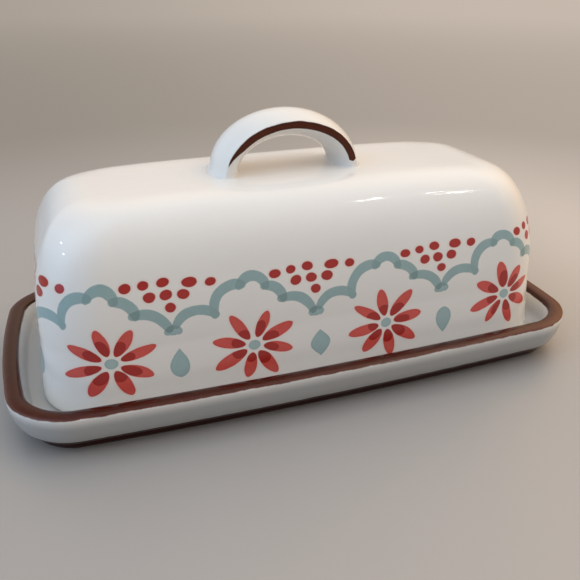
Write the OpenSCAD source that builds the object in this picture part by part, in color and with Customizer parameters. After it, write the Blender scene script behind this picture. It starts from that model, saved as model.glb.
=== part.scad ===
// Covered butter dish in glazed earthenware. A shallow tray with a rounded rim stands on a foot ring,
// and a domed cover stands loose on the tray's floor and lifts off by a strap loop on its top.
// Millimetres, +Z up, length along X, the foot ring on z = 0 and the dish centred on the origin.

/* [Cover] */
// length of the cover, at the middle of its ends
cover_length = 165; // [145:1:200]
// width of the cover, at the middle of its sides
cover_width = 75; // [66:1:100]
// height of the cover, from the lip it stands on to the middle of its top
cover_height = 56.8; // [48:0.2:80]
// plan radius of the cover's corners
cover_corner = 18; // [12:0.5:28]
// how far the sides and ends of the cover swell out at their middles
cover_swell = 0.8; // [0:0.1:2]
// thickness of the cover's wall
cover_wall = 4.6; // [3.6:0.1:6]
// radius of the two edges of the cover's lip
lip_round = 1.4; // [0.6:0.1:1.6]
// how far the wall leans in between the lip and the shoulder
wall_lean = 1.5; // [0.5:0.1:3]
// how far the shoulder runs in over the top
shoulder_run = 22; // [14:0.5:26]
// how far the shoulder rises
shoulder_rise = 37.2; // [22:0.2:42]
// squareness of the shoulder: 2 is an ellipse, and a larger number is squarer
shoulder_power = 3.2; // [2:0.1:5]
// how far the top falls away from the handle towards each end
top_fall = 0.8; // [0:0.1:2]

/* [Handle] */
// distance over the strap's edges where its feet meet the cover
handle_span = 43; // [36:0.5:56]
// height of the strap's edges over the top of the cover
handle_rise = 15.9; // [14:0.1:26]
// width of the strap, across the cover
strap_width = 18.6; // [13:0.2:22]
// thickness of the strap at its two edges
strap_edge = 2.7; // [1.4:0.1:3.5]
// radius of the strap's corners
edge_round = 0.6; // [0.3:0.1:0.7]
// how far the upper face of the strap swells above its edges
strap_crown = 2.2; // [0.8:0.1:4]
// how far the underside of the strap swells below its edges
strap_belly = 3.4; // [0.5:0.1:4.5]
// how far a foot of the strap spreads where it was luted on
foot_spread = 0.8; // [0.2:0.1:3]
// height over which a foot spreads
foot_spread_rise = 2.2; // [1:0.1:8]
// how far the strap leans outward at its feet
foot_flare = 0.2; // [0:0.1:2]
// how far the handle stands from the middle of the cover
handle_shift = -1; // [-3:0.5:3]

/* [Tray] */
// room between the end of the cover and the foot of the tray's inner wall
end_room = 4; // [2:0.1:8]
// room between the side of the cover and the foot of the tray's inner wall
side_room = 2; // [1.5:0.1:6]
// how far the inner wall runs in between the rim and the floor
wall_run = 2.2; // [1:0.1:4]
// width of the rounded rim
rim_width = 4.6; // [3.6:0.1:6]
// how far the rim is rounded up above its two edges
rim_crown = 1; // [0.4:0.1:2]
// height of the tray, to the crown of the rim
tray_height = 14; // [12:0.2:22]
// plan radius of the tray's corners, at the rim
tray_corner = 16.3; // [13:0.1:22]
// how far the ends of the tray swell out at their middles
tray_end_swell = 3.5; // [0:0.1:5]
// how far the sides of the tray swell out at their middles
tray_side_swell = 2.5; // [0:0.1:3]
// thickness of the tray's floor
floor_thick = 4.5; // [3.5:0.1:6]
// depth of the hollow inside the foot ring
foot_hollow = 2; // [1:0.1:2.6]
// height of the foot ring, seen from outside
foot_height = 3.1; // [1.5:0.1:4.5]
// how far the foot ring stands in from the rim
foot_inset = 4.4; // [2:0.1:5]
// width of the foot ring
foot_width = 5; // [3:0.1:5.5]

/* [Hidden] */
// how far each side of the foot ring slopes
foot_slope = 1.2;
// flat steps round one corner, along one side and across one end of a ring
corner_steps = 9;
side_steps = 12;
end_steps = 6;
// steps along a curved part of a profile
curve_steps = 12;
lip_steps = 4;
// steps along the handle's arch, across its strap and round one of its corners
arch_steps = 40;
strap_steps = 10;
edge_steps = 3;
// flat top kept beyond the handle's feet
seat_margin = 0.6;

floor_z = foot_hollow + floor_thick;
cover_top = floor_z + cover_height;
shoulder_z = cover_top - min(shoulder_rise, cover_height - 6);
seat_half_width = strap_width / 2 + foot_spread + seat_margin;
foot_reach = strap_crown + foot_spread + foot_flare;
seat_half_length = handle_span / 2 + foot_reach + abs(handle_shift) + seat_margin;
wall_half_width = cover_width / 2 - wall_lean;
side_run = min(shoulder_run, wall_half_width - cover_wall - 3, wall_half_width - seat_half_width);
top_half_length = cover_length / 2 - wall_lean - side_run;
tray_length = cover_length + 2 * (end_room + wall_run + rim_width);
tray_width = cover_width + 2 * (side_room + wall_run + rim_width);
rim_edge_z = tray_height - rim_crown;

tray();
cover();
handle();

// Quarter turn of radius r about (cx, cy), starting at angle a.
function corner_arc(cx, cy, r, a) = [
    for (i = [0:corner_steps])
        let (t = a + 90 * i / corner_steps)
        [cx + r * cos(t), cy + r * sin(t)]
];

// Points strictly between p and q, so that a straight edge is divided like a curved one.
function between(p, q, n) = [for (i = [1:n - 1]) p + (q - p) * i / n];

// Rounded rectangle of half sizes hx and hy, anticlockwise from the +X end.
function rounded_rect(hx, hy, r) =
    let (
        a = corner_arc(hx - r, hy - r, r, 0),
        b = corner_arc(r - hx, hy - r, r, 90),
        c = corner_arc(r - hx, r - hy, r, 180),
        d = corner_arc(hx - r, r - hy, r, 270),
        last = corner_steps
    )
    concat(
        a, between(a[last], b[0], side_steps),
        b, between(b[last], c[0], end_steps),
        c, between(c[last], d[0], side_steps),
        d, between(d[last], a[0], end_steps)
    );

// Rounded rectangle whose ends and sides swell out in shallow curves to the full length and width.
function swelled(length, width, r, end_swell, side_swell) =
    let (
        hx = length / 2 - end_swell,
        hy = width / 2 - side_swell
    )
    [
        for (p = rounded_rect(hx, hy, r))
            [
                p.x * (1 + end_swell / hx * (1 - pow(p.y / hy, 2))),
                p.y * (1 + side_swell / hy * (1 - pow(p.x / hx, 2)))
            ]
    ];

// Ring of a flat outline at height z, drawn in by the factors fx and fy.
function raised(outline, z, fx = 1, fy = 1) = [for (p = outline) [p.x * fx, p.y * fy, z]];

// How far the cover's top lies below the handle's seat, at distance x from the middle: nothing on the seat,
// and then the square of the way from the seat to the end of the top.
function fall_at(x) =
    top_fall * pow(max(0, abs(x) - seat_half_length) / max(1, top_half_length - seat_half_length), 2);

// Ring of the tray that lies inset from its rim.
function tray_ring(inset, z) =
    raised(
        swelled(
            tray_length - 2 * inset, tray_width - 2 * inset, tray_corner - inset,
            tray_end_swell, tray_side_swell
        ),
        z
    );

// Outline of the cover that lies inset from its widest line.
function cover_outline(inset) =
    swelled(
        cover_length - 2 * inset, cover_width - 2 * inset, max(cover_corner - inset, 4),
        cover_swell, cover_swell
    );

// Rings over one face of the shoulder, from the wall up to the flat top. The outline is drawn in by
// run times one less the cosine to the power 2 / shoulder_power, while it rises by the sine.
function shoulder_rings(inset, top) =
    let (
        outline = cover_outline(inset),
        hx = cover_length / 2 - inset,
        hy = cover_width / 2 - inset,
        rise = top - shoulder_z
    )
    [
        for (i = [0:curve_steps])
            let (
                t = 90 * i / curve_steps,
                drawn = side_run * (1 - (i == curve_steps ? 0 : pow(cos(t), 2 / shoulder_power)))
            )
            [
                for (p = outline)
                    let (
                        x = p.x * (1 - drawn / hx),
                        y = p.y * (1 - drawn / hy)
                    )
                    [x, y, shoulder_z + (rise - fall_at(min(abs(x), top_half_length))) * sin(t)]
            ]
    ];

// Rings round one edge of the lip, from the wall to the flat the cover stands on.
function lip_rings(inset, side) = [
    for (i = [0:lip_steps])
        let (t = 90 * i / lip_steps)
        raised(cover_outline(inset + side * lip_round * (1 - cos(t))), floor_z + lip_round * (1 - sin(t)))
];

// Points round a corner p at distance r, from angle a to angle b: the first leaves out a, the second b.
function fan_to(p, r, a, b) = [
    for (i = [1:edge_steps])
        let (t = a + (b - a) * i / edge_steps)
        p + r * [cos(t), sin(t)]
];
function fan_from(p, r, a, b) = [
    for (i = [0:edge_steps - 1])
        let (t = a + (b - a) * i / edge_steps)
        p + r * [cos(t), sin(t)]
];

// Section of the strap, as distance across and distance outward: a lens with two flat edges, whose
// corners are rounded, and which is drawn out all round by e where a foot spreads.
function strap_section(e) =
    let (
        w = strap_width / 2 - edge_round,
        r = edge_round + e,
        top = -edge_round,
        bottom = edge_round - strap_edge,
        up = 90 - atan(2 * strap_crown / w),
        down = 90 - atan(2 * strap_belly / w)
    )
    concat(
        [
            for (i = [0:strap_steps])
                let (
                    u = 2 * i / strap_steps - 1,
                    t = 90 - atan(2 * strap_crown * u / w)
                )
                [u * w, top + strap_crown * (1 - u * u)] + r * [cos(t), sin(t)]
        ],
        fan_to([w, top], r, up, 0),
        fan_from([w, bottom], r, 0, -down),
        [
            for (i = [0:strap_steps])
                let (
                    u = 1 - 2 * i / strap_steps,
                    t = atan(2 * strap_belly * u / w) - 90
                )
                [u * w, bottom - strap_belly * (1 - u * u)] + r * [cos(t), sin(t)]
        ],
        fan_to([-w, bottom], r, down - 180, -180),
        fan_from([-w, top], r, 180, 180 - up)
    );

function backwards(rings) = [for (i = [len(rings) - 1:-1:0]) rings[i]];

// Face that closes a ring whose two sides mirror each other, as triangles between the points that face each
// other. The ring's first point is half of end_steps past the middle of an end.
function mirrored_cap(n, a, turned) = [
    for (j = [0:n / 2 - 1])
        let (
            i = (n - end_steps / 2 + j) % n,
            k = (i + 1) % n,
            p = (2 * n - end_steps - i) % n,
            q = (2 * n - end_steps - k) % n
        )
        each [
            if (i != p) turned ? [a + p, a + k, a + i] : [a + i, a + k, a + p],
            if (k != q) turned ? [a + p, a + q, a + k] : [a + k, a + q, a + p]
        ]
];

// Solid skinned over a chain of rings with equal numbers of points, closed by a face at each end. The faces
// are flat, or bridged from side to side where the rings curve.
module skinned(rings, bridged = false) {
    n = len(rings[0]);
    m = len(rings);
    skin = [
        for (j = [0:m - 2], i = [0:n - 1])
            let (
                k = (i + 1) % n,
                a = j * n
            )
            each [[a + i, a + k, a + n + k], [a + i, a + n + k, a + n + i]]
    ];
    first = bridged ? mirrored_cap(n, 0, true) : [[for (i = [n - 1:-1:0]) i]];
    last = bridged ? mirrored_cap(n, (m - 1) * n, false) : [[for (i = [0:n - 1]) (m - 1) * n + i]];
    polyhedron(points = [for (ring = rings) each ring], faces = concat(skin, first, last), convexity = 6);
}

// Shallow tray: floor, inner wall, rounded rim, belly of the outer wall, and the hollow foot ring.
module tray() {
    wall_foot = rim_width + wall_run;
    foot_toe = foot_inset + foot_slope;
    inner_wall = [
        for (i = [0:curve_steps])
            let (t = 90 * i / curve_steps)
            tray_ring(wall_foot - wall_run * sin(t), rim_edge_z - (rim_edge_z - floor_z) * cos(t))
    ];
    rim = [
        for (i = [1:curve_steps - 1])
            let (t = 180 * i / curve_steps)
            tray_ring(rim_width * (1 + cos(t)) / 2, rim_edge_z + rim_crown * sin(t))
    ];
    outer_wall = [
        for (i = [0:curve_steps])
            let (t = 90 * i / curve_steps)
            tray_ring(foot_inset * (1 - cos(t)), rim_edge_z - (rim_edge_z - foot_height) * sin(t))
    ];
    foot = [
        tray_ring(foot_toe, 0),
        tray_ring(foot_toe + foot_width, 0),
        tray_ring(foot_toe + foot_width + foot_slope, foot_hollow)
    ];
    color("ivory") skinned(concat(inner_wall, rim, outer_wall, foot));
}

// Domed cover: an open shell whose wall leans in to a broad shoulder, with a rounded lip below.
module cover() {
    outside = wall_lean;
    inside = wall_lean + cover_wall;
    outer_wall = [
        for (i = [1:3])
            let (u = i / 4)
            raised(
                cover_outline(wall_lean * u),
                floor_z + lip_round + (shoulder_z - floor_z - lip_round) * u
            )
    ];
    inner_wall = [
        for (i = [1:3])
            let (u = i / 4)
            raised(
                cover_outline(cover_wall + wall_lean * u),
                floor_z + lip_round + (shoulder_z - floor_z - lip_round) * u
            )
    ];
    outer_skin = concat(backwards(lip_rings(0, 1)), outer_wall, shoulder_rings(outside, cover_top));
    inner_skin = concat(
        backwards(lip_rings(cover_wall, -1)), inner_wall, shoulder_rings(inside, cover_top - cover_wall)
    );
    color("ivory") skinned(concat(backwards(outer_skin), inner_skin), bridged = true);
}

// Strap loop: a lens-shaped section swept over a half-ellipse, with feet that spread on the flat top.
module handle() {
    rings = [
        for (i = [0:arch_steps])
            let (
                t = 180 * i / arch_steps,
                low = max(0, 1 - handle_rise * sin(t) / foot_spread_rise),
                e = foot_spread * low * low,
                flare = foot_flare * low * low * sign(cos(t))
            )
            [
                for (p = strap_section(e))
                    [
                        handle_shift - (handle_span / 2 + p.y) * cos(t) - flare,
                        p.x,
                        cover_top + (handle_rise + p.y) * sin(t)
                    ]
            ]
    ];
    color("ivory") skinned(rings);
}
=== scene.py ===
"""Covered butter dish in white glazed earthenware with a brushed border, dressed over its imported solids."""

import bpy
import numpy as np
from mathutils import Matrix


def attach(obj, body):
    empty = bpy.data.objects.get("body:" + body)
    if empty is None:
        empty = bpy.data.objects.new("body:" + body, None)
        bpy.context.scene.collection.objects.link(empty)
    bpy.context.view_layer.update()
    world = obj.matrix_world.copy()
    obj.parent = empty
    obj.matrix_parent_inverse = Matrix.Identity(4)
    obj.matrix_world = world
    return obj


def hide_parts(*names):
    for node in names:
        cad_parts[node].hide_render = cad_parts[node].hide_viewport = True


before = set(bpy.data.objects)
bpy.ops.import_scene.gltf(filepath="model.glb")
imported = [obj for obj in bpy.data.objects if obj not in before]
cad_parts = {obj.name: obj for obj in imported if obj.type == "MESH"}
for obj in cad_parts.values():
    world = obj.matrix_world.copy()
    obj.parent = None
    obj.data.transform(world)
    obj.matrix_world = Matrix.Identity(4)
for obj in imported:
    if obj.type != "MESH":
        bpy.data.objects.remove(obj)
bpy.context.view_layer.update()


# Tray. One shallow dish of white earthenware, pressed in a mould: a flat floor, a low wall that rolls over into a
# rounded rim, a belly below the rim, and a foot ring. Brown is brushed on the rim and the foot, and all of it but
# the sole of the foot is covered by a clear glossy glaze.
mm = 0.001
tray_length = 186.6
tray_width = 92.6
tray_corner = 16.3
tray_least_corner = 2.0
tray_end_swell = 3.5
tray_side_swell = 2.5
rim_width = 4.6
rim_crown = 1.0
rim_edge_z = 13.0
wall_run = 2.2
floor_z = 6.5
foot_inset = 4.4
foot_height = 3.1
foot_slope = 1.2
foot_width = 5.0
foot_hollow = 2.0
foot_round = 0.35


def outline_plan(corner_steps, side_steps, end_steps):
    """Rows (fx, fy, turn) for the points of a closed outline, anticlockwise from the right-hand end. A point lies a
    corner radius away, in the direction turn, from the spot that is fx of the way along the straight half length
    and fy of the way along the straight half width."""
    corner = np.linspace(0, np.pi / 2, corner_steps + 1)
    runs = {0: np.linspace(1, -1, side_steps + 1)[1:-1], 1: np.linspace(1, -1, end_steps + 1)[1:-1]}
    rows = []
    for k, (sx, sy) in enumerate(((1, 1), (-1, 1), (-1, -1), (1, -1))):
        rows.append([np.full_like(corner, sx), np.full_like(corner, sy), corner + k * np.pi / 2])
        run = runs[k % 2] * (1 if k < 2 else -1)
        still = np.full_like(run, (sy, sx)[k % 2])
        turn = np.full_like(run, (k + 1) * np.pi / 2)
        rows.append([run, still, turn] if k % 2 == 0 else [still, run, turn])
    return np.concatenate([np.array(row) for row in rows], axis=1)


def swelled(plan, length, width, corner, end_swell, side_swell):
    """Points x, y of a rounded rectangle whose ends and sides swell. The rectangle is smaller than length by width
    by the swell; x is then stretched by the end swell times one less the square of y over the half width, and y
    by the side swell times one less the square of x over the half length."""
    fx, fy, turn = plan
    half_x = length / 2 - end_swell
    half_y = width / 2 - side_swell
    x = fx * (half_x - corner) + corner * np.cos(turn)
    y = fy * (half_y - corner) + corner * np.sin(turn)
    out_x = x * (1 + end_swell / half_x * (1 - (y / half_y) ** 2))
    out_y = y * (1 + side_swell / half_y * (1 - (x / half_x) ** 2))
    return out_x, out_y


def ring_stack(x, y, z):
    """Rings in space from x, y of each ring and one height or a row of heights for each ring."""
    return np.stack([x, y, np.broadcast_to(z, x.shape)], axis=-1)


def shrunk(ring, fractions):
    """Rings that fill a face: the ring drawn in about the upright axis by each fraction, at the ring's own height."""
    return ring[None, :, :] * np.stack([fractions, fractions, np.ones_like(fractions)], -1)[:, None, :]


def run_round(ring):
    """Distance run along a closed ring from its first point to each point, and at last to the first point again."""
    return np.concatenate([[0], np.cumsum(np.linalg.norm(np.roll(ring, -1, 0) - ring, axis=1))])


def mapped(along, across):
    """A piece's own map, ring by point by two, from two distances in millimetres."""
    return np.stack(np.broadcast_arrays(along, across), axis=-1) * mm


def ring_faces(ring_count, point_count):
    """Four-sided faces over a chain of closed rings: points i and i + 1 of a ring and the same two of the next."""
    here = np.arange(point_count)
    after = (here + 1) % point_count
    row = np.arange(ring_count - 1)[:, None] * point_count
    next_row = row + point_count
    return np.stack([row + here, row + after, next_row + after, next_row + here], axis=-1).reshape(-1, 4)


def fan_faces(pole, ring_start, point_count):
    """Three-sided faces from a pole to a closed ring, turning the way the ring runs."""
    here = np.arange(point_count)
    after = (here + 1) % point_count
    return np.stack([np.full(point_count, pole), ring_start + here, ring_start + after], axis=-1)


def new_piece(name, points, *face_sets):
    """Mesh object from points in millimetres and sets of faces, put into the scene."""
    mesh = bpy.data.meshes.new(name)
    mesh.from_pydata((points * mm).tolist(), [], [face for faces in face_sets for face in faces.tolist()])
    mesh.update()
    piece = bpy.data.objects.new(name, mesh)
    bpy.context.scene.collection.objects.link(piece)
    return piece


def skinned(name, rings, run_map, map_name):
    """Mesh object over a chain of closed rings, given in millimetres as an array ring by point by xyz: faces from
    each ring to the next, and a fan to its middle closes each end. run_map, ring by point + 1 by two, gives the
    piece's own map, whose last column meets the first without a jump."""
    ring_count, point_count, _ = rings.shape
    first_pole = ring_count * point_count
    points = np.concatenate([rings.reshape(-1, 3), rings[0].mean(0)[None], rings[-1].mean(0)[None]])
    quads = ring_faces(ring_count, point_count)
    first_fan = fan_faces(first_pole, 0, point_count)[:, [0, 2, 1]]
    last_fan = fan_faces(first_pole + 1, first_pole - point_count, point_count)
    piece = new_piece(name, points, quads, first_fan, last_fan)
    left, right = run_map[:, :-1], run_map[:, 1:]
    quad_map = np.stack([left[:-1], right[:-1], right[1:], left[1:]], axis=2).reshape(-1, 2)
    first_map = np.stack([left[0], right[0], left[0]], axis=1).reshape(-1, 2)
    last_map = np.stack([left[-1], left[-1], right[-1]], axis=1).reshape(-1, 2)
    layer = piece.data.uv_layers.new(name=map_name)
    layer.data.foreach_set("uv", np.concatenate([quad_map, first_map, last_map]).astype(np.float32).ravel())
    piece.data.polygons.foreach_set("use_smooth", np.arange(len(piece.data.polygons)) < len(quads))
    piece.data.update()
    return piece


# The profile of the tray, as distance in from the rim and height: inner wall and rim are quarter and half turns
# that meet upright, the belly is a quarter turn that ends level, and small rounds ease the foot's edges.
quarter = np.linspace(0, np.pi / 2, 25)
half = np.linspace(0, np.pi, 33)[1:-1]
edge_turn = np.linspace(0, np.pi / 2, 6)
slope_steps = 6
sole_steps = 5
slope_end_z = foot_round * 1.5
toe = foot_inset + foot_slope
heel = toe + foot_width
profile_runs = (
    (rim_width + wall_run * (1 - np.sin(quarter)), rim_edge_z - (rim_edge_z - floor_z) * np.cos(quarter)),
    (rim_width * (1 + np.cos(half)) / 2, rim_edge_z + rim_crown * np.sin(half)),
    (foot_inset * (1 - np.cos(quarter)), rim_edge_z - (rim_edge_z - foot_height) * np.sin(quarter)),
    (
        np.linspace(foot_inset, toe - foot_round, slope_steps)[1:],
        np.linspace(foot_height, slope_end_z, slope_steps)[1:],
    ),
    (toe + foot_round * (1 - np.cos(edge_turn)), foot_round * (1 - np.sin(edge_turn))),
    (np.linspace(toe + foot_round, heel - foot_round, sole_steps)[1:], np.zeros(sole_steps - 1)),
    (heel + foot_round * np.sin(edge_turn) - foot_round, foot_round * (1 - np.cos(edge_turn))),
    (np.linspace(heel, heel + foot_slope, sole_steps)[1:], np.linspace(foot_round, foot_hollow, sole_steps)[1:]),
)
profile_inset, profile_z = np.concatenate([np.stack(run) for run in profile_runs], axis=1)
crest_row = np.argmax(profile_z)
foot_row = 2 * len(quarter) + len(half) - 1

tray_plan = outline_plan(corner_steps=28, side_steps=96, end_steps=44)
inset = profile_inset[:, None]
tray_rings = ring_stack(
    *swelled(
        tray_plan,
        tray_length - 2 * inset,
        tray_width - 2 * inset,
        np.maximum(tray_corner - inset, tray_least_corner),
        tray_end_swell,
        tray_side_swell,
    ),
    profile_z[:, None],
)
fill = np.linspace(0.04, 1, 12)[:-1]
floor_rings = shrunk(tray_rings[0], fill)
hollow_rings = shrunk(tray_rings[-1], fill[::-1])
tray_all = np.concatenate([floor_rings, tray_rings, hollow_rings])

# Map of the tray: how far round, and how far from the crest of the rim along the profile, inward less than nothing.
past_profile = 5.0
down_profile = np.concatenate([[0], np.cumsum(np.hypot(np.diff(profile_inset), np.diff(profile_z)))])
down_profile -= down_profile[crest_row]
down_rings = np.concatenate(
    [
        np.full(len(floor_rings), down_profile[0] - past_profile),
        down_profile,
        np.full(len(hollow_rings), down_profile[-1] + past_profile),
    ]
)
tray_map = mapped(run_round(tray_rings[crest_row])[None, :], down_rings[:, None])
tray = skinned("tray_dish", tray_all, tray_map, "profile")


class Wire:
    """A value that flows from one shader node to the next. Each sign, or a step by name, adds one Math node."""

    def __init__(self, socket):
        self.socket = socket

    def step(self, operation, *others):
        node = self.socket.id_data.nodes.new("ShaderNodeMath")
        node.operation = operation
        for place, value in enumerate((self, *others)):
            feed(node.inputs[place], value)
        return Wire(node.outputs[0])

    def __add__(self, other):
        return self.step("ADD", other)

    def __sub__(self, other):
        return self.step("SUBTRACT", other)

    def __mul__(self, other):
        return self.step("MULTIPLY", other)

    def __truediv__(self, other):
        return self.step("DIVIDE", other)

    def __neg__(self):
        return self.step("MULTIPLY", -1.0)


def feed(socket, value):
    """Joins a wire to a socket, or sets the socket to a plain value."""
    if isinstance(value, Wire):
        socket.id_data.links.new(value.socket, socket)
    else:
        socket.default_value = value


def add_node(tree, kind, inputs=(), **settings):
    """A new node with its settings made and its inputs fed, by name or by number."""
    node = tree.nodes.new("ShaderNode" + kind)
    for name, value in settings.items():
        setattr(node, name, value)
    for name, value in dict(inputs).items():
        feed(node.inputs[name], value)
    return node


def cloud(tree, place, scale, detail=2.0, rough=0.5):
    """Soft noise from 0 to 1, with about scale lumps to the unit of the place."""
    inputs = {"Vector": place, "Scale": scale, "Detail": detail, "Roughness": rough}
    return Wire(add_node(tree, "TexNoise", inputs).outputs[0])


def eased(tree, value, start, end, low=0.0, high=1.0):
    """Value carried from start..end to low..high along a smooth step."""
    inputs = {"Value": value, "From Min": start, "From Max": end, "To Min": low, "To Max": high}
    return Wire(add_node(tree, "MapRange", inputs, interpolation_type="SMOOTHSTEP").outputs[0])


def blended(tree, share, under, over):
    """Colour over laid on colour under by the share."""
    node = add_node(tree, "Mix", {0: share, 6: under, 7: over}, data_type="RGBA")
    return Wire(node.outputs[2])


def split(tree, vector):
    """The three parts of a place or a direction."""
    return [Wire(socket) for socket in add_node(tree, "SeparateXYZ", {0: vector}).outputs]


def new_group(name, takes, gives):
    """An empty shader node group with named sockets: its tree, its input wires and its output sockets."""
    tree = bpy.data.node_groups.new(name, "ShaderNodeTree")
    for side, sockets in (("INPUT", takes), ("OUTPUT", gives)):
        for label, kind in sockets.items():
            tree.interface.new_socket(label, in_out=side, socket_type="NodeSocket" + kind)
    source = tree.nodes.new("NodeGroupInput")
    sink = tree.nodes.new("NodeGroupOutput")
    return tree, {label: Wire(source.outputs[label]) for label in takes}, sink.inputs


def use_group(tree, group, inputs):
    """The group placed in a tree with its inputs fed: its output wires by name."""
    node = add_node(tree, "Group", node_tree=group)
    for label, value in inputs.items():
        feed(node.inputs[label], value)
    return {socket.name: Wire(socket) for socket in node.outputs}


def ink(red, green, blue):
    """A colour given as a screen shows it, from 0 to 255, turned into light."""
    share = np.array([red, green, blue]) / 255
    light = np.where(share > 0.04045, ((share + 0.055) / 1.055) ** 2.4, share / 12.92)
    return (*light.tolist(), 1.0)


# The glaze: pooled a little thicker in places, a faint orange peel from the firing, and a few pinholes. Scales are
# lumps to the metre.
pool_scale = 28.0
peel_scale = 240.0
grain_scale = 1500.0
pinhole_scale = 95.0
pinhole_core, pinhole_edge = 0.012, 0.03
pinhole_free = 0.8
gloss_rough, pool_rough, grain_rough = 0.04, 0.05, 0.03
peel_high, grain_high, pinhole_deep = 0.8, 0.05, 0.6
glaze_skin, skin_takes, skin_gives = new_group(
    "Glaze skin",
    {"Place": "Vector"},
    {"Pool": "Float", "Roughness": "Float", "Height": "Float", "Speck": "Float"},
)
pool = cloud(glaze_skin, skin_takes["Place"], pool_scale, 3.0)
peel = cloud(glaze_skin, skin_takes["Place"], peel_scale, 1.0)
grain = cloud(glaze_skin, skin_takes["Place"], grain_scale, 1.0)
cells = add_node(glaze_skin, "TexVoronoi", {"Vector": skin_takes["Place"], "Scale": pinhole_scale})
chance = Wire(add_node(glaze_skin, "SeparateColor", {"Color": Wire(cells.outputs["Color"])}).outputs[0])
near = eased(glaze_skin, Wire(cells.outputs["Distance"]), pinhole_core, pinhole_edge, 1.0, 0.0)
speck = near * chance.step("GREATER_THAN", pinhole_free)
feed(skin_gives["Pool"], pool)
feed(skin_gives["Roughness"], pool * pool_rough + grain * grain_rough + gloss_rough)
feed(skin_gives["Height"], peel * peel_high + grain * grain_high - speck * pinhole_deep)
feed(skin_gives["Speck"], speck)

# A brushed edge: the distance outside a stroke's outline, in millimetres, shaken by the hand and by the grain of
# the biscuit, becomes how much of the colour is there and how thick it lies, which is more along the outline.
hand_scale, hand_reach = 230.0, 2.0
tooth_scale, tooth_reach = 1100.0, 0.7
streak_scale, streak_share = 520.0, 0.6
ridge_from, ridge_share = -0.9, 0.4
brushed, edge_takes, edge_gives = new_group(
    "Brushed edge",
    {"Distance": "Float", "Place": "Vector", "Shake": "Float", "Soft": "Float"},
    {"Cover": "Float", "Thick": "Float"},
)
hand = cloud(brushed, edge_takes["Place"], hand_scale, 1.0) - 0.5
tooth = cloud(brushed, edge_takes["Place"], tooth_scale, 2.0) - 0.5
edge = edge_takes["Distance"] + (hand * hand_reach + tooth * tooth_reach) * edge_takes["Shake"]
feed(edge_gives["Cover"], eased(brushed, edge, -edge_takes["Soft"], edge_takes["Soft"], 1.0, 0.0))
streak = cloud(brushed, edge_takes["Place"], streak_scale, 3.0, 0.6)
feed(edge_gives["Thick"], streak * streak_share + eased(brushed, edge, ridge_from, 0.0, 0.0, ridge_share))

glaze_white = ink(237, 234, 229)
glaze_pooled = ink(230, 228, 223)
speck_grey = ink(120, 105, 92)
speck_share = 0.5
glaze_ior = 1.52
peel_strength, peel_depth = 0.12, 0.0004


def glazed(name):
    """A material of clear glaze over white clay: itself, its tree, its shader, its place on the piece and its white."""
    material = bpy.data.materials.new(name)
    material.use_nodes = True
    tree = material.node_tree
    shader = tree.nodes["Principled BSDF"]
    shader.inputs["IOR"].default_value = glaze_ior
    place = Wire(add_node(tree, "TexCoord").outputs["Object"])
    skin = use_group(tree, glaze_skin, {"Place": place})
    bump = add_node(tree, "Bump", {"Strength": peel_strength, "Distance": peel_depth, "Height": skin["Height"]})
    feed(shader.inputs["Normal"], Wire(bump.outputs[0]))
    feed(shader.inputs["Roughness"], skin["Roughness"])
    white = blended(tree, skin["Pool"], glaze_white, glaze_pooled)
    white = blended(tree, skin["Speck"] * speck_share, white, speck_grey)
    return material, tree, shader, place, white


def dulled(shader, amount):
    """Makes the glaze of a shader rougher by an amount that changes over the piece."""
    glossy = Wire(shader.inputs["Roughness"].links[0].from_socket)
    feed(shader.inputs["Roughness"], glossy + amount)


def on_map(tree, map_name):
    """The two directions of a piece's own map, in millimetres."""
    spot = add_node(tree, "UVMap", uv_map=map_name)
    along, across, _ = split(tree, Wire(spot.outputs[0]))
    return along / mm, across / mm


def brush_mark(tree, place, distance, shake, soft):
    """A brushed mark from the distance outside its outline: how much colour is there and how thick it lies."""
    return use_group(tree, brushed, {"Distance": distance, "Place": place, "Shake": shake, "Soft": soft})


def off_band(distance, middle, half_width):
    """Distance outside a band that reaches half a width to either side of its middle."""
    return (distance - middle).step("ABSOLUTE") - half_width


# The colours of the tray. Limits down the profile are in millimetres from the crest of the rim. The brown of the rim
# is lighter down its outside and where the brush streaks it, and is painted lighter toward the right-hand end, a
# painted light from the warm side. The white is painted grey down the belly and toward the floor, a painted shade,
# and the foot's dark brown is partly its own paint and partly painted shade under the belly.
brown_dark = ink(57, 17, 6)
brown_thin = ink(88, 38, 20)
# Partly painted shade: the foot's darkest brown stands both for its paint and for the shade under the belly.
foot_brown_and_shade = ink(34, 12, 6)
sole_clay = ink(214, 203, 186)
# Painted shade: a grey for the white where it lies in shade, down the outside belly and down the inside toward the
# floor.
painted_shade_grey = ink(166, 166, 164)
shade_outside = (1.0, 6.0)
shade_inside = (-2.5, -9.0, 0.0, 0.7)
rim_band_middle, rim_band_half, rim_shake = -0.5, 3.0, 0.3
rim_streaks = 4.0
# Painted light: how far the rim's brown turns lighter toward the right-hand end, and where along its length.
rim_painted_light = 3.0
painted_light_from, painted_light_to = 0.04, 0.09
rim_lighter_outside = (-1.5, 4.0)
foot_line = float(down_profile[foot_row])
foot_band_half, foot_band_over, foot_shake = 3.4, 3.5, 0.25
sole_under_line, sole_half, sole_shake = 6.0, 2.3, 0.2
band_soft = 0.2
sole_dull, brown_dull = 0.6, 0.03
tray_specular = 0.25

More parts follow.
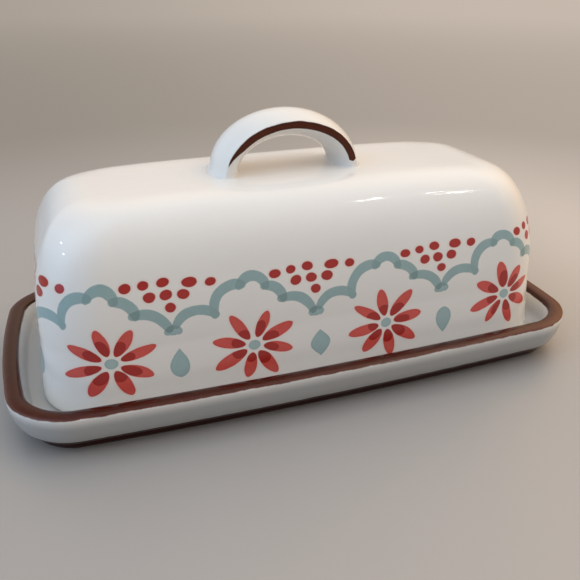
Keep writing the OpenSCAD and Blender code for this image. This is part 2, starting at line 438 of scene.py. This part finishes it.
tray_finish, tree, shader, place, colour = glazed("tray_glaze")
shader.inputs["Specular IOR Level"].default_value = tray_specular
_, down = on_map(tree, "profile")
# Painted shade: the white turns grey down the belly toward the foot and down the inner wall toward the floor.
painted_shade = eased(tree, down, *shade_outside).step("MAXIMUM", eased(tree, down, *shade_inside))
colour = blended(tree, painted_shade, colour, painted_shade_grey)
rim_out = off_band(down, rim_band_middle, rim_band_half)
rim_paint = brush_mark(tree, place, rim_out, rim_shake, band_soft)
# Painted light: the rim's brown is lighter toward the right-hand end, where the warm light falls.
painted_light_right = eased(tree, split(tree, place)[0], painted_light_from, painted_light_to) * rim_painted_light
rim_tone = eased(tree, down + (rim_paint["Thick"] - 0.5) * rim_streaks + painted_light_right, *rim_lighter_outside)
rim_colour = blended(tree, rim_tone, brown_dark, brown_thin)
colour = blended(tree, rim_paint["Cover"], colour, rim_colour)
foot_out = off_band(down, foot_line + foot_band_half - foot_band_over, foot_band_half)
foot_paint = brush_mark(tree, place, foot_out, foot_shake, band_soft)
# The foot's brown deepens to a tone that is partly its paint and partly painted shade.
foot_colour = blended(tree, foot_paint["Thick"], brown_dark, foot_brown_and_shade)
colour = blended(tree, foot_paint["Cover"], colour, foot_colour)
sole = brush_mark(tree, place, off_band(down, foot_line + sole_under_line, sole_half), sole_shake, band_soft)
colour = blended(tree, sole["Cover"], colour, sole_clay)
feed(shader.inputs["Base Color"], colour)
dulled(shader, sole["Cover"] * sole_dull + rim_paint["Cover"].step("MAXIMUM", foot_paint["Cover"]) * brown_dull)
tray.data.materials.append(tray_finish)
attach(tray, "tray")
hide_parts("tray")


# Cover. One cast shell of the same clay, open below, with upright walls that lean in a little and a broad shoulder.
# A border is brushed round its walls before glazing: teal scallops with red dots above, and red daisies below.
cover_length = 165.0
cover_width = 75.0
cover_top = 63.3
cover_corner = 18.0
cover_least_corner = 4.0
cover_swell = 0.8
cover_wall = 4.6
lip_round = 1.4
lip_rows = 9
wall_lean = 1.5
shoulder_run = 22.0
shoulder_z = 26.1
shoulder_power = 3.2
top_fall = 0.8
seat_half_length = 26.3
top_half_length = cover_length / 2 - wall_lean - shoulder_run
cover_plan = outline_plan(corner_steps=30, side_steps=110, end_steps=46)


def cover_ring(inset, z, drawn=0.0):
    """Rings of the cover that lie inset from its widest line, drawn in toward the middle by a further distance that
    shortens the length and the width alike."""
    x, y = swelled(
        cover_plan,
        cover_length - 2 * inset,
        cover_width - 2 * inset,
        np.maximum(cover_corner - inset, cover_least_corner),
        cover_swell,
        cover_swell,
    )
    x = x * (1 - drawn / (cover_length / 2 - inset))
    y = y * (1 - drawn / (cover_width / 2 - inset))
    return ring_stack(x, y, z)


def fallen(rings, share=1.0):
    """Rings let down toward the ends of the cover: nothing where the handle sits, then the square of the way from
    there to the end of the top, times the share."""
    past_seat = np.minimum(np.abs(rings[:, :, 0]), top_half_length) - seat_half_length
    way = past_seat / (top_half_length - seat_half_length)
    rings[:, :, 2] -= top_fall * np.maximum(way, 0) ** 2 * share
    return rings


def cover_skin(inset, side, top, fine):
    """One face of the cover from its lip up: a quarter round, a straight wall that leans in, and the shoulder. The
    shoulder rises by the sine of t while it is drawn in by one less the cosine of t to the power 2 / squareness."""
    t = np.linspace(0, np.pi / 2, lip_rows)[:, None]
    lip = cover_ring(inset + side * lip_round * (1 - np.sin(t)), floor_z + lip_round * (1 - np.cos(t)))
    u = np.linspace(0, 1, fine // 2)[1:-1, None]
    wall = cover_ring(inset + wall_lean * u, floor_z + lip_round + (shoulder_z - floor_z - lip_round) * u)
    t = np.linspace(0, np.pi / 2, fine)[:, None]
    drawn = shoulder_run * (1 - np.clip(np.cos(t), 0, 1) ** (2 / shoulder_power))
    shoulder = cover_ring(np.full_like(t, inset + wall_lean), shoulder_z + (top - shoulder_z) * np.sin(t), drawn)
    return np.concatenate([lip, wall, fallen(shoulder, np.sin(t))])


outer_skin = cover_skin(0.0, 1, cover_top, 52)
inner_skin = cover_skin(cover_wall, -1, cover_top - cover_wall, 34)
level = np.array([1, 1, 0])
top_rings = fallen(shrunk(outer_skin[-1] * level, fill)) + [0, 0, cover_top]
ceiling_rings = fallen(shrunk(inner_skin[-1] * level, fill[::-1])) + [0, 0, cover_top - cover_wall]
cover_all = np.concatenate([top_rings, outer_skin[::-1], inner_skin, ceiling_rings])

# Map of the cover for its border: how far along the border, and how high, which the brush let rise toward the ends.
# Ten flowers go round, four to a side and one to an end, and the corners make up the odd length.
flower_step = 42.3
flowers_round = 10
first_flower = 19.9
lag_from, lag_to = 76.0, 99.0
side_lift, lift_at, lift_most = 1.6, 64.0, 1.15
front_y = -30.0
lip_ring = outer_skin[lip_rows - 1]
round_lip = run_round(lip_ring)
girth = round_lip[-1]
in_front = lip_ring[:, 1] < front_y
middle_front = np.interp(0, lip_ring[in_front, 0], round_lip[:-1][in_front])
spare = girth / 4 - flower_step * flowers_round / 4


def laid_out(s):
    """Distance round the cover, from the middle of its front, turned into distance along the border. The two agree
    but for the corners, where the border lags by the spare length, along a smooth step."""
    half_girth = girth / 2
    turns = np.round(s / half_girth)
    local = s - turns * half_girth
    u = np.clip((np.abs(local) - lag_from) / (lag_to - lag_from), 0, 1)
    lag = spare * u * u * (3 - 2 * u)
    return np.sign(local) * (np.abs(local) - lag) + turns * flower_step * flowers_round / 2


along_border = laid_out(round_lip - middle_front) - first_flower
outer_high = np.concatenate([top_rings, outer_skin[::-1]])[:, :, 2]
lift = side_lift * np.minimum(np.abs(lip_ring[:, 0]) / lift_at, lift_most) ** 2
inner_high = np.zeros((len(inner_skin) + len(ceiling_rings), len(lip_ring)))
high = np.concatenate([outer_high - lift, inner_high])
high = np.concatenate([high, high[:, :1]], axis=1)
cover = skinned("cover_shell", cover_all, mapped(along_border[None, :], high), "border")

# One dab of the brush, laid along a line: its half width goes as t to the root power times (1 - t) to the tip
# power, with t from 0 at its root to 1 at its tip. Puts out the distance outside it.
dab_end = 0.001
dab_fullness = 2.65
dab, dab_takes, dab_gives = new_group(
    "Brush dab",
    {"Along": "Float", "Across": "Float", "Length": "Float", "Half width": "Float", "Root": "Float", "Tip": "Float"},
    {"Distance": "Float"},
)
t = (dab_takes["Along"] / dab_takes["Length"]).step("MINIMUM", 1 - dab_end).step("MAXIMUM", dab_end)
width = t.step("POWER", dab_takes["Root"]) * (-(t - 1.0)).step("POWER", dab_takes["Tip"])
outside = dab_takes["Across"].step("ABSOLUTE") - width * dab_takes["Half width"] * dab_fullness
past_ends = (-dab_takes["Along"]).step("MAXIMUM", dab_takes["Along"] - dab_takes["Length"])
feed(dab_gives["Distance"], outside.step("MAXIMUM", past_ends))

# One scallop: an arc drawn about a centre. The point is turned back to the middle of the arc by its own angle, as
# far as the arc reaches, and its distance from there is its distance from the line that the brush drew.
scallop, arc_takes, arc_gives = new_group(
    "Brush arc",
    {"Spot": "Vector", "Centre": "Vector", "Turn": "Vector", "Radius": "Float", "Reach": "Float"},
    {"Distance": "Float", "Toward end": "Float"},
)
inputs = {"Vector": arc_takes["Spot"], "Location": arc_takes["Centre"], "Rotation": arc_takes["Turn"]}
turned = Wire(add_node(scallop, "Mapping", inputs, vector_type="TEXTURE").outputs[0])
arc_x, arc_y, _ = split(scallop, turned)
kept = arc_x.step("ARCTAN2", arc_y).step("MINIMUM", arc_takes["Reach"]).step("MAXIMUM", -arc_takes["Reach"])
back = add_node(scallop, "VectorRotate", {"Vector": turned, "Angle": kept}, rotation_type="Z_AXIS")
middle = add_node(scallop, "CombineXYZ", {1: arc_takes["Radius"]})
apart = add_node(scallop, "VectorMath", {0: Wire(back.outputs[0]), 1: Wire(middle.outputs[0])}, operation="DISTANCE")
feed(arc_gives["Distance"], Wire(apart.outputs["Value"]))
feed(arc_gives["Toward end"], (kept / arc_takes["Reach"]).step("ABSOLUTE"))

# The border. Lengths are in millimetres, and each share says how much of what lies under a colour it hides. Each
# stroke is shaken a little, and all of them sway together.
sway_scale, sway = 90.0, 1.1
stroke_shake, drop_shake, dot_shake = 0.16, 0.3, 0.2
stroke_soft = 0.14
border, border_takes, border_gives = new_group(
    "Brushed border",
    {"Along": "Float", "Height": "Float", "Place": "Vector", "Ground": "Color"},
    {"Colour": "Color", "Paint": "Float"},
)
swaying = add_node(border, "TexNoise", {"Vector": border_takes["Place"], "Scale": sway_scale, "Detail": 1.0})
sway_x, sway_y, _ = split(border, Wire(swaying.outputs[1]))
border_x = border_takes["Along"] + (sway_x - 0.5) * sway
border_y = border_takes["Height"] + (sway_y - 0.5) * sway


def folded(offset):
    """The distance along the border from the nearest of the marks set offset from each flower, and which it is."""
    steps_along = (border_x - offset) / flower_step + 0.5
    return (steps_along.step("FRACT") - 0.5) * flower_step, steps_along.step("FLOOR")


def spot_at(across):
    """A place in the border from a distance along it, at the height of the point."""
    return Wire(add_node(border, "CombineXYZ", {0: across, 1: border_y}).outputs[0])


def three(colour):
    """The three values that a colour holds."""
    return [Wire(socket) for socket in add_node(border, "SeparateColor", {0: colour}).outputs]


def by_flower(number, *rows):
    """A value for each flower in turn, from each of three rows of them, held in a ramp that doesn't blend."""
    ramp = add_node(border, "ValToRGB", {0: (number + 0.5).step("FLOORED_MODULO", flowers_round) / flowers_round})
    ramp.color_ramp.interpolation = "CONSTANT"
    while len(ramp.color_ramp.elements) < flowers_round:
        ramp.color_ramp.elements.new(0.5)
    for k, element in enumerate(ramp.color_ramp.elements):
        element.position = k / flowers_round
    for element, values in zip(ramp.color_ramp.elements, zip(*rows)):
        element.color = (*values, 1.0)
    return three(Wire(ramp.outputs[0]))


def stroke(distance, shake=stroke_shake):
    """A brushed stroke in the border from the distance outside its outline."""
    return brush_mark(border, border_takes["Place"], distance, shake, stroke_soft)


def dab_out(along, across, length, half_width, root, tip):
    """The distance outside a dab of the brush."""
    inputs = {"Along": along, "Across": across, "Length": length, "Half width": half_width, "Root": root, "Tip": tip}
    return use_group(border, dab, inputs)["Distance"]


def gathered(operation, wires):
    """Several values taken together, one after the other, by one operation."""
    total = wires[0]
    for wire in wires[1:]:
        total = total.step(operation, wire)
    return total


# The scallops: for each of a unit, from the flower's middle, its centre across and up, its radius, the angles where
# it ends, and how thick its colour lies, which shows where two of them cross.
teal_thin = ink(159, 186, 188)
teal_thick = ink(138, 167, 168)
teal_double = ink(96, 130, 127)
scallop_half, scallop_taper, taper_power = 1.5, 0.35, 4.0
crossing = (1.2, 2.0)
crossing_share, scallop_share = 0.7, 0.96
scallops = (
    (-16.2, 27.6, 6.9, 155, 46, 0.7),
    (-5.6, 34.4, 6.3, 199, 72, 0.76),
    (-0.6, 38.4, 4.1, 155, 12, 0.85),
    (3.4, 33.7, 5.6, 94, 9, 0.8),
    (10.0, 26.5, 8.5, 103, 22, 1.0),
    (18.9, 25.5, 3.7, 112, 68, 1.0),
)
marks = []
laid = []
for centre_x, centre_y, radius, start, end, load in scallops:
    across, _ = folded(centre_x)
    inputs = {
        "Spot": spot_at(across),
        "Centre": (0.0, centre_y, 0.0),
        "Turn": (0.0, 0.0, float(np.radians((start + end) / 2 - 90))),
        "Radius": radius,
        "Reach": float(np.radians((start - end) / 2)),
    }
    arc = use_group(border, scallop, inputs)
    half_width = arc["Toward end"].step("POWER", taper_power) * -scallop_taper + scallop_half
    marks.append(stroke(arc["Distance"] - half_width))
    laid.append(marks[-1]["Cover"] * load)
scallop_cover = gathered("MAXIMUM", [mark["Cover"] for mark in marks])
teal = blended(border, marks[-1]["Thick"], teal_thin, teal_thick)
teal = blended(border, eased(border, gathered("ADD", laid), *crossing) * crossing_share, teal, teal_double)
colour = blended(border, scallop_cover * scallop_share, border_takes["Ground"], teal)

# The drops between the flowers: for each, from the front round, how fast it narrows to its foot and to its tip, and
# how high it was set. A drop that narrows faster is made wider, so that all have about the same breadth.
drop_offset, drop_z, drop_length = 20.2, 14.4, 8.8
drop_lift_range = 3.0
drop_half, drop_widening, drop_plain = 3.0, 4.0, 1.6
drop_share = 0.95
drop_feet = (1.0, 0.6, 0.8, 0.5, 0.9, 0.7, 0.95, 0.6, 0.62, 1.2)
drop_tips = (0.6, 0.9, 0.7, 1.0, 0.6, 0.8, 0.5, 0.8, 1.0, 1.2)
drop_lifts = (0.3, 0.5, 0.6, 0.4, 0.5, 0.45, 0.55, 0.1, 0.6, 0.45)
across, number = folded(drop_offset)
foot, tip, set_up = by_flower(number, drop_feet, drop_tips, drop_lifts)
along = border_y - drop_z - (set_up - 0.5) * drop_lift_range
drop_half_width = (foot + tip - drop_plain) * drop_widening + drop_half
drop = stroke(dab_out(along, across, drop_length, drop_half_width, foot, tip), drop_shake)
colour = blended(border, drop["Cover"] * drop_share, colour, blended(border, drop["Thick"], teal_thin, teal_thick))

# The daisies: for each, from the front round, how it was turned, how high and how far along it was set and how broad
# it was made. Eight petals, each with its own luck in turn, length and width, a shorter second dab laid over each,
# and a teal heart.
petal_thin = ink(214, 80, 70)
petal_thick = ink(197, 58, 50)
petal_double = ink(158, 26, 21)
bled_pink = ink(238, 208, 200)
daisy_z = 21.6
daisy_reach = 12.5
daisy_squash = 1.14
daisy_shift_range, daisy_lift_range = 6.0, 2.0
daisy_narrow, daisy_breadth_range = 0.82, 0.36
daisy_turns = (0.16, 0.31, 0.52, 0.9, 0.22, 0.7, 0.05, 0.45, 0.39, 0.63)
daisy_lifts = (0.33, 0.8, 0.6, 0.35, 0.55, 0.5, 0.4, 0.62, 0.48, 0.35)
daisy_shifts = (0.45, 0.6, 0.4, 0.55, 0.5, 0.35, 0.6, 0.5, 0.75, 0.47)
daisy_breadths = (0.5, 0.45, 0.55, 0.4, 0.6, 0.5, 0.45, 0.6, 0.75, 0.5)
petals = 8
petal_angle = 2 * np.pi / petals
petal_swing = 0.16
petal_from, petal_short, petal_length_range = 2.7, daisy_reach - 3.4, 1.8
petal_half, petal_half_range, petal_root, petal_tip = 1.32, 0.34, 0.55, 0.54
second_from, second_short, second_length_range = 2.6, 3.6, 3.2
second_half, second_half_range, second_root, second_tip = 1.1, 0.4, 0.4, 0.45
second_shift = 1.6
heart_radius = 1.75
petal_share, second_share, heart_share, bled_share = 0.97, 0.85, 0.9, 0.4
petal_bled, dot_bled = (0.9, 0.1), (0.8, 0.1)
across, number = folded(0.0)
turn, set_up, set_on = by_flower(number, daisy_turns, daisy_lifts, daisy_shifts)
breadth, _, _ = by_flower(number, daisy_breadths, daisy_lifts, daisy_lifts)
across = (across - (set_on - 0.5) * daisy_shift_range) / (breadth * daisy_breadth_range + daisy_narrow)
rise = (border_y - (set_up - 0.5) * daisy_lift_range - daisy_z) * daisy_squash
away = (across * across + rise * rise).step("SQRT")
petals_turned = rise.step("ARCTAN2", across) / petal_angle - turn
petal = (petals_turned + 0.5).step("FLOOR")
inputs = {0: petal.step("FLOORED_MODULO", petals), 1: number.step("FLOORED_MODULO", flowers_round)}
which = Wire(add_node(border, "CombineXYZ", inputs).outputs[0])
luck = add_node(border, "TexWhiteNoise", {"Vector": which}, noise_dimensions="3D")
first_luck, second_luck, third_luck = three(Wire(luck.outputs["Color"]))
swing = (petals_turned - petal) * petal_angle + (first_luck - 0.5) * petal_swing
out = away * swing.step("COSINE")
side = away * swing.step("SINE")
petal_out = dab_out(
    out - petal_from,
    side,
    second_luck * petal_length_range + petal_short,
    third_luck * petal_half_range + petal_half,
    petal_root,
    petal_tip,
)
second_out = dab_out(
    out - second_from,
    side + (third_luck - 0.5) * second_shift,
    first_luck * second_length_range + second_short,
    second_luck * second_half_range + second_half,
    second_root,
    second_tip,
)
first = stroke(petal_out)
second = stroke(second_out)
heart = stroke(away - heart_radius)
colour = blended(border, eased(border, petal_out, *petal_bled) * bled_share, colour, bled_pink)
petal_colour = blended(border, first["Thick"], petal_thin, petal_thick)
colour = blended(border, first["Cover"] * petal_share, colour, petal_colour)
colour = blended(border, second["Cover"] * first["Cover"] * second_share, colour, petal_double)
colour = blended(border, heart["Cover"] * heart_share, colour, blended(border, heart["Thick"], teal_thin, teal_thick))

# The dots over each dip in the scallops: how far from the dip, how high, half width and half height.
dot_red = ink(176, 42, 38)
dot_deep = ink(160, 28, 26)
dots_offset = 18.7
dot_share = 0.98
dots = (
    (-12.5, 42.4, 1.75, 1.3),
    (-7.6, 42.9, 1.5, 1.2),
    (-2.3, 43.2, 1.8, 1.35),
    (5.2, 42.8, 2.15, 1.4),
    (11.1, 42.3, 1.6, 1.2),
    (-6.0, 39.5, 1.75, 1.45),
    (-1.3, 39.6, 1.75, 1.45),
    (3.6, 39.6, 1.75, 1.45),
    (0.0, 36.0, 1.5, 1.35),
)
across, _ = folded(dots_offset)
dots_spot = spot_at(across)
dots_out = []
for dot_x, dot_y, half_wide, half_high in dots:
    inputs = {"Vector": dots_spot, "Location": (dot_x, dot_y, 0.0), "Scale": (half_wide, half_high, 1.0)}
    local = add_node(border, "Mapping", inputs, vector_type="TEXTURE")
    length = Wire(add_node(border, "VectorMath", {0: Wire(local.outputs[0])}, operation="LENGTH").outputs["Value"])
    dots_out.append((length - 1.0) * float(np.sqrt(half_wide * half_high)))
nearest = gathered("MINIMUM", dots_out)
dot = stroke(nearest, dot_shake)
colour = blended(border, eased(border, nearest, *dot_bled) * bled_share, colour, bled_pink)
colour = blended(border, dot["Cover"] * dot_share, colour, blended(border, dot["Thick"], dot_red, dot_deep))
feed(border_gives["Colour"], colour)
paint = gathered("MAXIMUM", [scallop_cover, drop["Cover"], first["Cover"], heart["Cover"], dot["Cover"]])
feed(border_gives["Paint"], paint)

paint_dull = 0.1
cover_finish, tree, shader, place, white = glazed("cover_glaze")
along, height = on_map(tree, "border")
bordered = use_group(tree, border, {"Along": along, "Height": height, "Place": place, "Ground": white})
feed(shader.inputs["Base Color"], bordered["Colour"])
dulled(shader, bordered["Paint"] * paint_dull)
cover.data.materials.append(cover_finish)
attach(cover, "cover")
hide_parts("cover")


# Handle. A strap of clay with a rounded back, bent to an arch and luted to the top of the cover with slip, which
# fills the joint round each foot. A brown line is brushed along its two edges.
handle_span = 43.0
handle_rise = 15.9
handle_shift = -1.0
strap_width = 18.6
strap_edge = 2.7
edge_round = 0.6
strap_crown = 2.2
strap_belly = 3.4
foot_spread = 0.8
foot_spread_rise = 3.2
foot_flare = 0.2

# The section of the strap, clockwise from the left of its back, as the middles of the small rounds at its edges and
# the direction in which the skin lies from each: back and belly are parabolas, and each edge is flat.
flat_half = strap_width / 2 - edge_round
over = np.linspace(-1, 1, 33)
back_lean = np.arctan(2 * strap_crown * over / flat_half)
belly_lean = np.arctan(2 * strap_belly * over / flat_half)
round_steps = np.linspace(0, 1, 7)[1:-1]
flat_steps = np.linspace(0, 1, 6)[1:-1]
top_turn, bottom_turn = np.pi / 2 - back_lean[-1], np.pi / 2 - belly_lean[-1]
edge_top, edge_bottom = -edge_round, edge_round - strap_edge
side_turn = np.concatenate(
    [top_turn * (1 - round_steps), np.zeros(len(flat_steps) + 2), -bottom_turn * round_steps]
)
side_z = np.concatenate(
    [
        np.full(len(round_steps) + 1, edge_top),
        edge_top + (edge_bottom - edge_top) * flat_steps,
        np.full(len(round_steps) + 1, edge_bottom),
    ]
)
side_x = np.full(len(side_z), flat_half)
section_x = np.concatenate([over * flat_half, side_x, -over * flat_half, -side_x])
section_z = np.concatenate(
    [edge_top + strap_crown * (1 - over**2), side_z, edge_bottom - strap_belly * (1 - over**2), side_z[::-1]]
)
section_turn = np.concatenate([np.pi / 2 - back_lean, side_turn, -np.pi / 2 - belly_lean, np.pi - side_turn[::-1]])

# The way over the arch. Each foot spreads as a quarter turn that ends level with the top of the cover, and is cut
# in even steps of that turn, so that the slip runs out with no edge.
foot_arch = np.arcsin((1 - np.cos(np.linspace(0, np.pi / 2, 25))) * foot_spread_rise / handle_rise)
free_arch = np.linspace(foot_arch[-1], np.pi - foot_arch[-1], 121)[1:-1]
arch = np.concatenate([foot_arch, free_arch, np.pi - foot_arch[::-1]])
low = np.maximum(0, 1 - handle_rise * np.sin(arch) / foot_spread_rise)
spread = foot_spread * (1 - np.sqrt(np.maximum(0, 1 - low**2)))
lean_out = foot_flare * low**2 * np.sign(np.cos(arch))
reach = edge_round + spread[:, None]
strap_y = section_x + reach * np.cos(section_turn)
outward = section_z + reach * np.sin(section_turn)
handle_rings = np.stack(
    [
        handle_shift - (handle_span / 2 + outward) * np.cos(arch)[:, None] - lean_out[:, None],
        strap_y,
        cover_top + (handle_rise + outward) * np.sin(arch)[:, None],
    ],
    axis=-1,
)

# Map of the handle: how far over the arch, and how far round the strap from the middle of its nearer edge, which is
# less than nothing toward the back of the strap and more toward its underside.
section = np.stack([section_x + edge_round * np.cos(section_turn), section_z + edge_round * np.sin(section_turn)], -1)
round_strap = run_round(section)
right_from = len(over)
left_from = right_from + len(side_z) + len(over)
right_edge = round_strap[right_from : right_from + len(side_z)].mean()
left_edge = round_strap[left_from : left_from + len(side_z)].mean()
edges = np.array([right_edge, left_edge, left_edge - round_strap[-1]])
from_edge = np.abs(round_strap[:, None] - edges).min(axis=1)
from_edge *= np.where((round_strap > right_edge) & (round_strap < left_edge), 1, -1)
handle_map = mapped(np.degrees(arch)[:, None], from_edge[None, :])
handle = skinned("handle_strap", handle_rings, handle_map, "strap")

# The brown line. Limits over the arch are in degrees from its left foot: where the line swells and ends, and where
# it slips from the back of the strap on to its edge.
line_half, line_spent = 1.15, 0.3
line_swells = (8.0, 46.0)
line_ends = (174.0, 169.0)
line_slips = (10.0, 40.0, -0.9, 0.12)
uneven_scale, uneven = 160.0, 0.4
line_shake, line_soft = 0.18, 0.15
line_dull = 0.05
handle_specular = 0.3
handle_finish, tree, shader, place, white = glazed("handle_glaze")
shader.inputs["Specular IOR Level"].default_value = handle_specular
over_arch, off_edge = on_map(tree, "strap")
taper = eased(tree, over_arch, *line_swells).step("SQRT") * eased(tree, over_arch, *line_ends)
half_width = taper * (line_half + line_spent) - line_spent
wander = (cloud(tree, place, uneven_scale, 1.0) - 0.5) * uneven
line_out = off_band(off_edge, eased(tree, over_arch, *line_slips), half_width) - wander
line_paint = brush_mark(tree, place, line_out, line_shake, line_soft)
line_colour = blended(tree, line_paint["Thick"], brown_thin, brown_dark)
feed(shader.inputs["Base Color"], blended(tree, line_paint["Cover"], white, line_colour))
dulled(shader, line_paint["Cover"] * line_dull)
handle.data.materials.append(handle_finish)
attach(handle, "cover")
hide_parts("handle")


# Table, light and camera. A plain warm-grey table top with a satin finish, which mirrors the bright back of the room
# a little and fades into it far off. A broad soft light falls from above, cool from the left and warm from the right,
# and the camera stands where the photograph was taken.
table_drop = 0.02
table_radii = np.array([8.0, 2.5, 1.2, 0.5, 0.2, 0.05])
table_points_round = 96
table_grey = ink(152, 149, 146)
table_pale = ink(157, 154, 151)
# Painted light: the table's right-hand side is painted lighter and warmer, for the warm light from the right.
table_lit_right = ink(192, 184, 176)
mottle_scale = 6.0
table_lit_range = (0.06, 0.2)
table_roughness, table_ior, table_specular = 0.45, 1.6, 1.0
# Painted light: the far table and the room past it glow darker on the left and lighter on the right, as the room's
# light falls.
far_left = ink(160, 151, 141)
far_right = ink(190, 177, 165)
far_sideways = (-0.2, 0.6)
far_level = 1.1
far_rises = (0.4, 2.2, 0.88, far_level)
far_begins = (0.14, 0.42)
far_softening = 0.3


def far_colour(tree, sideways):
    """The colour of the far table and of the room past it, from the sideways part of the direction to it."""
    return blended(tree, eased(tree, sideways, *far_sideways), far_left, far_right)


spokes = np.linspace(0, 2 * np.pi, table_points_round, endpoint=False)
table_run = table_radii[:, None] / mm
disc = ring_stack(table_run * np.cos(spokes), table_run * np.sin(spokes), -table_drop)
disc_count = len(table_radii) * table_points_round
table = new_piece(
    "table_top",
    np.concatenate([disc.reshape(-1, 3), [[0, 0, -table_drop]]]),
    ring_faces(len(table_radii), table_points_round),
    fan_faces(disc_count, disc_count - table_points_round, table_points_round),
)
table_finish = bpy.data.materials.new("table_top")
table_finish.use_nodes = True
tree = table_finish.node_tree
shader = tree.nodes["Principled BSDF"]
shader.inputs["Roughness"].default_value = table_roughness
shader.inputs["IOR"].default_value = table_ior
shader.inputs["Specular IOR Level"].default_value = table_specular
place = Wire(add_node(tree, "TexCoord").outputs["Object"])
place_x = split(tree, place)[0]
table_colour = blended(tree, cloud(tree, place, mottle_scale, 2.0), table_grey, table_pale)
# Painted light: the table turns lighter and warmer toward the right, where the warm light falls.
table_colour = blended(tree, eased(tree, place_x, *table_lit_range), table_colour, table_lit_right)
feed(shader.inputs["Base Color"], table_colour)
distance = Wire(add_node(tree, "VectorMath", {0: place}, operation="LENGTH").outputs["Value"])
far_tint = far_colour(tree, place_x / (distance + far_softening))
far = add_node(tree, "Emission", {0: far_tint, 1: eased(tree, distance, *far_rises)})
seen = add_node(tree, "LightPath")
to_eye = Wire(seen.outputs["Is Camera Ray"]).step("MAXIMUM", Wire(seen.outputs["Is Glossy Ray"]))
share = eased(tree, distance, *far_begins) * to_eye
mixed = add_node(tree, "MixShader", {0: share, 1: Wire(shader.outputs[0]), 2: Wire(far.outputs[0])})
feed(tree.nodes["Material Output"].inputs["Surface"], Wire(mixed.outputs[0]))
table.data.materials.append(table_finish)

# The room. Each soft light is a lobe in the sky: the cosine of the angle from its middle, to a power, times its
# colour. A row gives its turn and rise and its colour. The bright ones are warm and above on the right, the window on
# the left is cool, and the front is dim. The eye itself sees the far table's colours carried on.
lobe_power = 8.0
lobes = (
    (0, 88, (0.38, 0.62, 0.82)),
    (20, 45, (0.9, 0.7, 0.55)),
    (80, 45, (1.95, 1.56, 1.14)),
    (140, 45, (1.3, 1.15, 1.03)),
    (125, 14, (0.5, 0.42, 0.33)),
    (200, 45, (0.15, 0.15, 0.15)),
    (260, 45, (1.32, 1.6, 1.93)),
    (20, 14, (0.35, 0.27, 0.2)),
    (80, 14, (0.75, 0.35, 0.05)),
    (260, 14, (0.25, 0.4, 0.7)),
    (275, 20, (0.55, 0.6, 0.66)),
    (320, 14, (0.8, 0.75, 0.72)),
)


def heading(turn, rise):
    """Unit direction from a turn clockwise from the back and a rise above level, in degrees."""
    turn, rise = np.radians([turn, rise])
    return np.array([np.sin(turn) * np.cos(rise), np.cos(turn) * np.cos(rise), np.sin(rise)])


world = bpy.data.worlds.new("room")
bpy.context.scene.world = world
world.use_nodes = True
tree = world.node_tree
toward = Wire(add_node(tree, "TexCoord").outputs["Generated"])
total = (0.0, 0.0, 0.0)
for turn, rise, tint in lobes:
    cosine = add_node(tree, "VectorMath", {0: toward, 1: heading(turn, rise).tolist()}, operation="DOT_PRODUCT")
    strength = Wire(cosine.outputs["Value"]).step("MAXIMUM", 0.0).step("POWER", lobe_power)
    lobe = add_node(tree, "CombineXYZ", {0: strength, 1: strength, 2: strength})
    inputs = {0: Wire(lobe.outputs[0]), 1: tint, 2: total}
    total = Wire(add_node(tree, "VectorMath", inputs, operation="MULTIPLY_ADD").outputs[0])
sky = add_node(tree, "Background", {0: total, 1: 1.0})
haze = add_node(tree, "Background", {0: far_colour(tree, split(tree, toward)[0]), 1: far_level})
to_eye = Wire(add_node(tree, "LightPath").outputs["Is Camera Ray"])
mixed = add_node(tree, "MixShader", {0: to_eye, 1: Wire(sky.outputs[0]), 2: Wire(haze.outputs[0])})
feed(tree.nodes["World Output"].inputs["Surface"], Wire(mixed.outputs[0]))

# Small lamps on the left and a row of them on the right, which sparkle in the glaze: the turn and rise of each, as
# seen from the spot on the shoulder where it sparkles, how far along that spot is, and its power.
lamp_away = 1.2
lamp_radius = 0.014
sparkle_y, sparkle_z = -26, 56
lamps = (
    ("left_lamp", 280, 32, -70, 0.8),
    ("near_left_lamp", 265, 26, -70, 0.8),
    ("first_right_lamp", 133, 53, 16, 1.0),
    ("second_right_lamp", 126, 49, 38, 0.4),
    ("third_right_lamp", 128, 45, 46, 0.5),
    ("fourth_right_lamp", 126, 44, 55, 0.5),
    ("last_right_lamp", 113, 29, 62, 0.7),
)
for name, turn, rise, sparkle_x, energy in lamps:
    lamp = bpy.data.lights.new(name, "POINT")
    lamp.energy = energy
    lamp.shadow_soft_size = lamp_radius
    holder = bpy.data.objects.new(name, lamp)
    sparkle = np.array([sparkle_x, sparkle_y, sparkle_z]) * mm
    holder.location = (heading(turn, rise) * lamp_away + sparkle).tolist()
    bpy.context.scene.collection.objects.link(holder)

# The camera, as it was found from the outlines in the photograph: its spot in millimetres, and its turn to the right
# and its dip in radians.
camera_spot = np.array([-69.466, -197.046, 118.768]) * mm
camera_turn = 0.344
camera_dip = 0.445
focal_pixels = 665.333
picture_pixels = 580
sensor_width = 36.0
nearest_seen = 0.01
ahead = heading(np.degrees(camera_turn), -np.degrees(camera_dip))
rightward = np.array([np.cos(camera_turn), -np.sin(camera_turn), 0.0])
upward = np.cross(rightward, ahead)
camera = bpy.data.objects.new("camera", bpy.data.cameras.new("camera"))
bpy.context.scene.collection.objects.link(camera)
camera.data.sensor_width = sensor_width
camera.data.lens = focal_pixels * sensor_width / picture_pixels
camera.data.clip_start = nearest_seen
camera_matrix = np.eye(4)
camera_matrix[:3] = np.stack([rightward, upward, -ahead, camera_spot], axis=1)
camera.matrix_world = camera_matrix.T.tolist()
bpy.context.scene.camera = camera
bpy.context.scene.view_settings.view_transform = "Standard"
